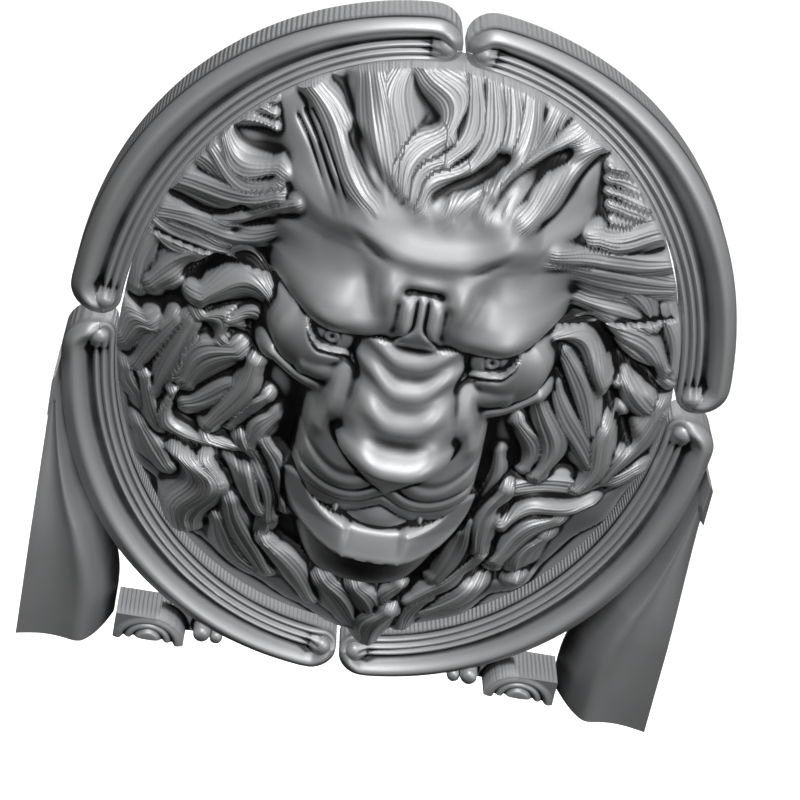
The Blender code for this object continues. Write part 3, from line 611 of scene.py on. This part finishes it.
# Nose: bands that sag at the sides; along a band the height rises by its share of the rise plus a
# sine wave, so it is steep above and level below. A drop under the tip, shoulders by a cube
def noseLevel(x, z):
    side = np.abs(x)
    sag = nose["sag"] - nose["tipSagLess"] * ramp(-z, -14.0, 4.0)
    curved = z - sag * (1.0 - np.exp(-(side / nose["sagWidth"]) ** 2.8))
    upper, height = np.array(nose["bands"], dtype=float).T
    place = np.interp(-curved, -upper, np.arange(len(upper)))
    band = np.minimum(place.astype(int), len(upper) - 2)
    shift = 2.0 * math.pi * nose["waveAt"]
    wave = np.sin(2.0 * math.pi * (place - nose["waveAt"])) + math.sin(shift)
    swell = nose["waveShare"] * np.diff(height)[band]
    middle = np.interp(place, np.arange(len(upper)), height) + swell * wave
    tipFrom = nose["tipFrom"] + nose["tipCurl"] * (side / nose["tipHalf"]) ** 2
    tipTo = nose["tipTo"] + 0.62 * side + 0.03 * past(side, 15.0) ** 2
    under = np.clip((tipFrom - z) / np.maximum(tipFrom - tipTo, 2.0), 0.0, 2.0)
    middle = middle - nose["tipDrop"] * under ** 1.1
    halfWidth = nose["bridgeHalf"] + nose["browFlare"] * ramp(z, 26.0, 46.0)
    halfWidth = halfWidth + nose["nostrilFlare"] * ramp(-z, -22.0, 0.0)
    share = side / halfWidth
    fall = nose["bridgeFall"] + nose["nostrilFall"] * ramp(-z, -14.0, 2.0)
    level = middle - fall * share ** 3 - nose["wallFall"] * past(share, 1.0) ** 1.5
    return level - 3.0 * past(z, nose["top"]) - 6.0 * past(tipTo, z)


# Profile of the forehead on the middle line: height of each place from the brow's edge to the crown
foreheadStops = (
    (40, 98), (52, 101.5), (60, 104), (70, 103), (80, 100), (90, 97.2), (96, 96.2), (101, 94.4),
    (106, 90.4), (111, 85.8), (116, 82), (122, 78), (130, 73), (145, 62.5), (165, 47), (180, 35), (195, 24),
)

forehead = {
    "bend": 0.0066, "halfWidth": 82.0, "narrowing": 0.22, "narrowFrom": 78.0,
    "sideFall": 38.0, "cornerRise": 9.0,
    "lobe": ((52, 60), (24, 17)), "lobeRise": 10.0,                  # middle and size of the brow lobe
    "innerLobe": ((19.5, 83), (6.5, 10.0)), "innerRise": 5.0,
    "dimple": (17, 58, 33, 86, -3, 0), "dimpleWidth": 7.0, "dimpleDepth": 2.6,
    "ridge": ((0, 88.5), (11, 3.2)), "ridgeRise": 2.0,
    "edgeZ": 51.0, "edgeRise": 13.0, "edgeRound": 15.0, "edgeDrop": 9.0,
}


# Forehead: the profile less a power of the side share, with brow lobes as bells and a lower edge
# rounded by a quarter ellipse over a straight drop to the eyes
def foreheadLevel(x, z):
    side = np.abs(x)
    bend = forehead["bend"] * side ** 2 * ramp(z, 82.0, 96.0)
    curved = z - bend * (1.0 - 0.6 * ramp(side, 38.0, 62.0))
    halfWidth = forehead["halfWidth"] - forehead["narrowing"] * past(z, forehead["narrowFrom"])
    power = 2.3 + 1.9 * ramp(-z, -96.0, -70.0)
    level = smoothLine(curved, foreheadStops) - forehead["sideFall"] * (side / halfWidth) ** power
    level = level + forehead["cornerRise"] * ramp(side, 12.0, 46.0) * ramp(z, 97.0, 126.0)
    level = level + forehead["lobeRise"] * hill(side, z, *forehead["lobe"])
    level = level + forehead["innerRise"] * hill(side, z, *forehead["innerLobe"])
    level = level - forehead["dimpleDepth"] * stroke(side, z, forehead["dimple"], forehead["dimpleWidth"])
    level = level + forehead["ridgeRise"] * hill(x, z, *forehead["ridge"])
    edge = forehead["edgeZ"] + forehead["edgeRise"] * ramp(side, 46.0, 88.0)
    t = np.clip((z - edge) / forehead["edgeRound"], 0.0, 1.0)
    rounded = 1.0 - np.sqrt(1.0 - (1.0 - t) ** 2)
    level = level - forehead["edgeDrop"] * rounded * ramp(side, 9.0, 24.0)
    return level - 6.0 * past(edge, z)


muzzle = {
    "level": 109.0, "padFrom": 16.0, "padCurve": 0.0155,
    "middleZ": -28.0, "lowCurve": 0.012, "highCurve": 0.0035,
    "outerFold": (46, -8, 39, 30, 2, 0), "outerRise": 4.0,
    "innerFold": (35, 4, 31, 36, 0, 0), "innerRise": 2.6, "foldWidth": 5.0,
    "lipZ": -52.0, "lipSag": 14.0, "lipHalf": 52.0, "cornerRise": 6.0,
    "cheekFrom": 49.0, "cheekCurve": 0.40, "topFrom": 10.0, "topCurve": 0.012,
}


# Muzzle: paraboloid pads with steep cheeks, folds that rise to the bags, cut below by a wavy lip line
def muzzleLevel(x, z):
    side = np.abs(x)
    level = muzzle["level"] - muzzle["padCurve"] * past(side, muzzle["padFrom"]) ** 2
    curve = np.where(z < muzzle["middleZ"], muzzle["lowCurve"], muzzle["highCurve"])
    level = level - curve * (z - muzzle["middleZ"]) ** 2
    outerFold = muzzle["outerRise"] * stroke(side, z, muzzle["outerFold"], muzzle["foldWidth"])
    innerFold = muzzle["innerRise"] * stroke(side, z, muzzle["innerFold"], muzzle["foldWidth"])
    level = level + outerFold + innerFold
    wave = np.sin(math.pi * np.clip(side / muzzle["lipHalf"], 0.0, 1.0)) ** 1.2
    lip = muzzle["lipZ"] - muzzle["lipSag"] * wave + muzzle["cornerRise"] * ramp(side, 40.0, 54.0)
    outer = muzzle["cheekCurve"] * past(side, muzzle["cheekFrom"]) ** 2
    below = 6.0 * past(lip, z)
    return level - outer - below - muzzle["topCurve"] * past(z, muzzle["topFrom"]) ** 2


# Creases on each lip: height in the middle and at the outer end, depth and half width
lipCreases = ((-34.0, -12.0, 1.6, 3.2), (-46.0, -34.0, 2.4, 2.6), (-55.0, -48.0, 1.5, 1.8))


# Creases: bells across curved lines on the lips, the ends of the furrow, the frown and its folds
def creases(x, z):
    side = np.abs(x)
    cut = np.zeros_like(x)
    for sag, outerZ, depth, width in lipCreases:
        line = sag + (outerZ - sag) * (np.abs(side - 26.0) / 30.0) ** 2
        line = line + 5.0 * bell(side, 0.0, 9.0)
        middle = ramp(side, -2.0, 24.0) if sag > -40.0 else 1.0
        cut = cut + depth * middle * bell(z, line, width) * fade(side, 50.0, 57.0)
    furrow = 94.0 + forehead["bend"] * side ** 2
    shape = bell(z, furrow, 3.4) * fade(side, 38.0, 50.0)
    cut = cut + (0.6 + 2.2 * hill(side, 0.0 * z, (33, 0), (9, 9))) * shape
    cut = cut + 3.6 * bell(z, 82.5, 2.5) * fade(side, 7.0, 15.0)
    folds = ramp(z, 51.0, 57.0) * fade(z, 77.0, 82.0)
    swing = 3.0 + 11.0 * ramp(-z, -68.0, -50.0) ** 1.8
    cut = cut + 2.4 * bell(side, swing, 1.6) * folds
    held = ramp(z, 53.0, 60.0) * fade(z, 74.0, 81.0)
    return cut + (1.8 * bell(side, 13.8, 3.0) - 1.8 * bell(side, 8.2, 3.2)) * held


# Lower lid line: side place and height on the face
lidStops = ((24, 29), (29, 32), (37, 36.5), (46, 38.5), (56, 43), (60, 50), (62, 58))

eye = {
    "x": 45.0, "z": 47.0, "radius": 17.0, "ballBack": 85.0, "ballRise": 8.5,
    "irisX": 46.0, "irisZ": 45.0, "irisRadius": 4.6, "irisDepth": 0.9,
    "pupilRadius": 1.8, "pupilDepth": 1.8,
    "bag": (56.0, 40.5, 22.5, 21.0), "bagLevel": 96.0, "bagFall": 8.0,       # middle and half sizes
    "inner": (21, 37, 60, 26, -9, 0), "roll": (21, 32, 77, 25, -17, 0), "foldLevel": 90.0,
    "wealRise": 2.8, "grooveDepth": 2.2, "top": 58.0,
}


# Eyes: ball with iris and pupil behind a lid weal, over a round bag and a thin roll of skin
def eyeLevel(x, z):
    side = np.abs(x)
    bagX, bagZ, bagWide, bagHigh = eye["bag"]
    fromBag = np.hypot((side - bagX) / bagWide, (z - bagZ) / bagHigh)
    bag = eye["bagLevel"] - eye["bagFall"] * fromBag ** 2.6 - 50.0 * past(fromBag, 1.0)
    held, across, beyond = lineFrame(side, z, eye["inner"])
    inner = eye["foldLevel"] + 4.0 * held - 0.06 * across ** 2 - 0.20 * beyond ** 2
    held, across, beyond = lineFrame(side, z, eye["roll"])
    roll = eye["foldLevel"] - 0.15 * across ** 2 - 0.20 * beyond ** 2 - 3.0 * held
    level = softMax(softMax(bag, inner, 1.5), roll, 0.5)
    lid = smoothLine(side, lidStops)
    present = ramp(side, 25.0, 31.0) * fade(side, 59.0, 62.0)
    fromBall = np.clip(np.hypot(side - eye["x"], z - eye["z"]) / eye["radius"], 0.0, 1.0)
    ball = eye["ballBack"] + eye["ballRise"] * np.sqrt(1.0 - fromBall ** 2)
    fromIris = np.hypot(side - eye["irisX"], z - eye["irisZ"])
    ball = ball - eye["irisDepth"] * bell(fromIris, eye["irisRadius"], 0.8)
    ball = ball - eye["pupilDepth"] * bell(fromIris, 0.0, eye["pupilRadius"])
    level = level + (ball - level) * ramp(z - lid, -0.6, 1.4) * fade(side, 61.5, 63.5)
    weal = eye["wealRise"] * bell(z, lid - 0.6, 1.7) - eye["grooveDepth"] * bell(z, lid - 4.2, 1.3)
    return level + weal * present - 8.0 * past(z, eye["top"])


jaw = {
    "mouthZ": -50.0, "insideWide": 46.0, "insideHigh": 23.0, "outsideWide": 57.0, "outsideHigh": 39.0,
    "crown": 107.0, "facet": 17.0, "armFall": 0.55, "armCurve": 0.0095, "insideDrop": 26.0, "cutZ": -56.0,
    "chinZ": -86.0, "chinLevel": 96.0, "chinCurve": 0.016, "chinFall": 0.24, "chinSteep": 40.0,
    "cheekHalf": 42.0, "cheekCurve": 0.10,
}


# Jaw: a lip that stands between two superellipses round the open mouth, faceted in the middle and
# falling by a parabola to its arms, with the mouth's floor inside it and a paraboloid chin under it
def jawLevel(x, z):
    side = np.abs(x)
    under = past(jaw["mouthZ"], z)
    inside = (side / jaw["insideWide"]) ** 2.4 + (under / jaw["insideHigh"]) ** 2.4
    outside = (side / jaw["outsideWide"]) ** 2.6 + (under / jaw["outsideHigh"]) ** 2.6
    over = 0.5 * (side - jaw["facet"] + np.hypot(side - jaw["facet"], 3.0))
    tilt = 3.0 + 4.5 * fade(side, 14.0, 20.0)
    crown = jaw["crown"] - jaw["armFall"] * over - jaw["armCurve"] * over ** 2
    crown = crown - tilt * np.clip((z + 87.0) / 14.0, 0.0, 1.0) ** 1.2
    band = crown - jaw["insideDrop"] * ramp(1.0 - inside, -0.04, 0.80) - 40.0 * past(outside, 1.0)
    band = band - 1.5 * past(z, jaw["cutZ"])
    below = past(jaw["chinZ"], z)
    chin = jaw["chinLevel"] - jaw["chinCurve"] * x ** 2 - jaw["chinFall"] * below - 0.011 * below ** 2
    chin = chin - 2.0 * past(below, jaw["chinSteep"])
    chin = chin - jaw["cheekCurve"] * np.clip(side - jaw["cheekHalf"] + 0.45 * below, 0.0, None) ** 2
    chin = chin - 12.0 * past(z, jaw["chinZ"])
    return np.maximum(band, chin)


mouth = {
    "tongueLevel": 99.0, "tongueZ": -64.0, "tongueHalf": 19.0, "tipZ": -69.0, "backZ": -50.0,
    "fangX": 25.0, "fangZ": -62.0, "fangLevel": 100.0, "fangFall": 3.2,
}


# Mouth: a tongue as a paraboloid plate, and a small fang at each side as a cone
def mouthLevel(x, z):
    side = np.abs(x)
    tongue = mouth["tongueLevel"] - 0.02 * x ** 2 - 0.03 * (z - mouth["tongueZ"]) ** 2
    tongue = tongue - 7.0 * past(mouth["tipZ"] + 0.008 * x ** 2, z)
    tongue = tongue - 6.0 * past(side, mouth["tongueHalf"]) - 6.0 * past(z, mouth["backZ"])
    fromFang = np.hypot((side - mouth["fangX"]) / 1.2, (z - mouth["fangZ"]) / 2.0)
    fang = mouth["fangLevel"] - mouth["fangFall"] * fromFang ** 1.6
    return np.maximum(tongue, fang)


ear = {
    "rim": ((96, 134), (28, 34), -30), "rise": 9.0,             # middle, size and turn in degrees
    "hollow": ((99, 133), (15, 20), -30), "depth": 10.0,
}


# Head: the mane's dome with its hair, and each part of the face laid over it as a larger height
def headLevel(x, z):
    angle = np.arctan2(z, x)
    share = np.hypot(x, z) / maneOutline(angle)
    side = np.abs(x)
    dome = head["rimLevel"] + head["dome"] * (1.0 - share ** 2.4) - head["sunk"]
    brow = foreheadLevel(x, z) - head["sunk"] * ramp(z, 118.0, 146.0)
    crown = brow - 5.0 * fade(z, 112.0, 132.0) - 2.0 * past(100.0, z)
    dome = softMax(dome, crown, 8.0)
    dome = dome + ear["rise"] * hill(side, z, *ear["rim"]) - ear["depth"] * hill(side, z, *ear["hollow"])
    lift, strand, hold = hairField(x, z)
    for valley in valleys:
        halfWidth, depth = valley[6:]
        lift = lift - depth * stroke(x, z, valley, halfWidth)
    combed = head["subRise"] * np.cos(2.0 * math.pi * strand / head["subPitch"])
    combed = combed + head["strandRise"] * np.cos(2.0 * math.pi * strand / head["strandPitch"] + 1.0)
    hair = ramp(share, head["hairFrom"], head["hairTo"])
    roots = 0.30 + 0.70 * ramp(z + 40.0 * ramp(side, 40.0, 90.0), 116.0, 146.0)
    roots = np.where(z > 60.0, roots, 1.0)
    mane = dome + (lift * roots + combed * hold) * hair
    cheek = 74.0 - 0.03 * (side - 40.0) ** 2 - 0.006 * (z + 5.0) ** 2
    face = np.maximum(brow, cheek)
    face = np.maximum(face, eyeLevel(x, z))
    face = softMax(face, muzzleLevel(x, z), 4.0) - creases(x, z)
    blend = 3.0 + 7.0 * ramp(-z, -38.0, -20.0) * fade(-z, -8.0, 8.0)
    face = softMax(face, noseLevel(x, z), blend)
    face = softMax(face, jawLevel(x, z), 1.0)
    face = np.maximum(face, mouthLevel(x, z))
    opening = fade(side, 50.0, 60.0) * ramp(-z, 44.0, 54.0) * fade(-z, 76.0, 86.0)
    mane = mane - opening * past(mane, head["mouthFloor"])
    level = softMax(mane, face, 5.0)
    isHair = ramp(mane - face, -1.0, 3.0) * hair * hold
    level = level + (head["plateLevel"] - level) * ramp(share, 1.010, 1.030)
    return np.maximum(level, 7.0), strand, isHair


# Square grid wrapped onto the disc, each square ring becoming a circle, closer set in the middle
def concentric(cells, density):
    side = np.linspace(-1.0, 1.0, cells + 1)
    a, b = np.meshgrid(side, side, indexing="ij")
    wide = np.abs(a) > np.abs(b)
    radius = np.where(wide, a, b)
    safeA = np.where(np.abs(a) < 1e-9, 1e-9, a)
    safeB = np.where(np.abs(b) < 1e-9, 1e-9, b)
    turn = np.where(wide, math.pi / 4.0 * b / safeA, quarter - math.pi / 4.0 * a / safeB)
    across, upward = radius * np.cos(turn), radius * np.sin(turn)
    reach = np.hypot(across, upward)
    return reach * (density + (1.0 - density) * reach ** 2), np.arctan2(upward, across)


# Painted shade under the lower lip and beside the muzzle: on both sides or in the
# middle, place, size and how much darker
paintedShades = (
    (False, (0, -110), (42, 20), 0.42),
    (True, (62, -34), (11, 44), 0.25),
)


# Head piece: the relief over the wrapped grid out to the ring's inner wall, with its hollow value of
# painted shade and painted highlight worked out on an even grid
def buildHead():
    reach, angle = concentric(head["cells"], head["density"])
    radius = reach * (ballEllipse(angle) + ring["inner"] - head["plateGap"])
    x, z = radius * np.cos(angle), radius * np.sin(angle)
    level, strand, isHair = headLevel(x, z)
    level = np.minimum(level, -cadBox[0][1] / mm - 0.05)
    reachX, reachZ = (ring[key] + head["evenStep"] for key in ("halfWidth", "halfHeight"))
    evenX, evenZ = (np.arange(-far, far, head["evenStep"]) for far in (reachX, reachZ))
    even = cavityShadeValue(headLevel(*np.meshgrid(evenX, evenZ, indexing="ij"))[0], head["spans"])
    hollow = readEven(even, (x - evenX[0]) / head["evenStep"], (z - evenZ[0]) / head["evenStep"])
    # Painted shade laid on under the lower lip and beside the muzzle
    for sideX, middle, size, darker in paintedShades:
        hollow = hollow - darker * hill(np.abs(x) if sideX else x, z, middle, size)
    fields = {"hollow": (hollow, head["wallTone"]), "run": (strand, None), "striped": (isHair, 0.0)}
    made = reliefPiece("lion_head_cast", np.stack([x, -level, z], axis=2), fields, 1, headIron)
    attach(made, "root")
    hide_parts("lion_head")


buildHead()
print("head made")


# Stage, light and camera

stage = {
    "floorZ": -0.90, "floorSize": 24.0, "floorColour": "#f4f4f2",     # metres
    "aim": (0.0, -0.05, 0.0), "sunPower": 3.4, "sunAngle": 0.2,
}

mesh = bpy.data.meshes.new("floor")
half = stage["floorSize"] / 2.0
mesh.from_pydata([(-half, -half, stage["floorZ"]), (half, -half, stage["floorZ"]),
                  (half, half, stage["floorZ"]), (-half, half, stage["floorZ"])], [], [(0, 1, 2, 3)])
floor = bpy.data.objects.new("floor", mesh)
bpy.context.scene.collection.objects.link(floor)

# Matt white paper: a plain bright ground, hidden from bounced light, so it doesn't grey the iron
paint = bpy.data.materials.new("matt_white_paper")
paint.use_nodes = True
paper = paint.node_tree.nodes["Principled BSDF"].inputs
paper["Base Color"].default_value = hexColour(stage["floorColour"])
paper["Roughness"].default_value = 0.9
mesh.materials.append(paint)
floor.visible_diffuse = False
floor.visible_glossy = False

# Each soft box: name, place, size and power in watts, aimed at the middle of the mask
softBoxes = (
    ("key_box", (0.0, -0.70, 2.10), 0.8, 38.0),
    ("right_box", (1.46, -1.17, 1.15), 1.2, 20.0),
    ("left_box", (-1.74, -1.27, 0.34), 1.2, 2.5),
    ("back_box", (0.0, 1.6, 0.1), 0.8, 9.0),
)
for name, place, size, power in softBoxes:
    lamp = bpy.data.lights.new(name, "AREA")
    lamp.size = size
    lamp.energy = power
    lamp.use_shadow = False         # an even, clay-like light without cast shadows
    made = bpy.data.objects.new(name, lamp)
    made.visible_camera = False
    made.location = place
    aim = Vector(stage["aim"]) - Vector(place)
    made.rotation_euler = aim.to_track_quat("-Z", "Y").to_euler()
    bpy.context.scene.collection.objects.link(made)

# A sun that lights the paper alone
lamp = bpy.data.lights.new("floor_sun", "SUN")
lamp.energy = stage["sunPower"]
lamp.angle = stage["sunAngle"]
floorSun = bpy.data.objects.new("floor_sun", lamp)
bpy.context.scene.collection.objects.link(floorSun)
onlyFloor = bpy.data.collections.new("lit_by_floor_sun")
onlyFloor.objects.link(floor)
floorSun.light_linking.receiver_collection = onlyFloor

# White air to the camera, almost no light from it on the mask
world = bpy.data.worlds.new("studio_air")
world.use_nodes = True
air = world.node_tree
air.nodes.clear()
path = addNode(air, "ShaderNodeLightPath")
seen = addNode(air, "ShaderNodeMapRange", {"To Min": 0.02, "To Max": 1.0},
               {"Value": path.outputs["Is Camera Ray"]})
sky = addNode(air, "ShaderNodeBackground", {"Color": (1.0, 1.0, 1.0, 1.0)}, {"Strength": seen.outputs[0]})
addNode(air, "ShaderNodeOutputWorld", {}, {"Surface": sky.outputs[0]})
bpy.context.scene.world = world
bpy.context.scene.view_settings.view_transform = "Standard"

# Camera: its axis from the elevation and the yaw, its own upright turned by the roll
view = {
    "elevation": 27.0, "yaw": 5.6, "roll": 12.1,      # degrees
    "place": (-0.1315, -1.4254, 0.6946), "lens": 118.395,
}
up, yaw, roll = (math.radians(view[k]) for k in ("elevation", "yaw", "roll"))
forward = Vector((math.sin(yaw) * math.cos(up), math.cos(yaw) * math.cos(up), -math.sin(up)))
level = Vector((math.cos(yaw), -math.sin(yaw), 0.0))
rising = level.cross(forward)
right = math.cos(roll) * level + math.sin(roll) * rising
top = -math.sin(roll) * level + math.cos(roll) * rising
lens = bpy.data.cameras.new("camera")
lens.lens = view["lens"]
lens.sensor_width = 36.0
camera = bpy.data.objects.new("camera", lens)
turned = Matrix((right, top, -forward)).transposed().to_4x4()
camera.matrix_world = Matrix.Translation(Vector(view["place"])) @ turned
bpy.context.scene.collection.objects.link(camera)
bpy.context.scene.camera = camera

print("stage made")
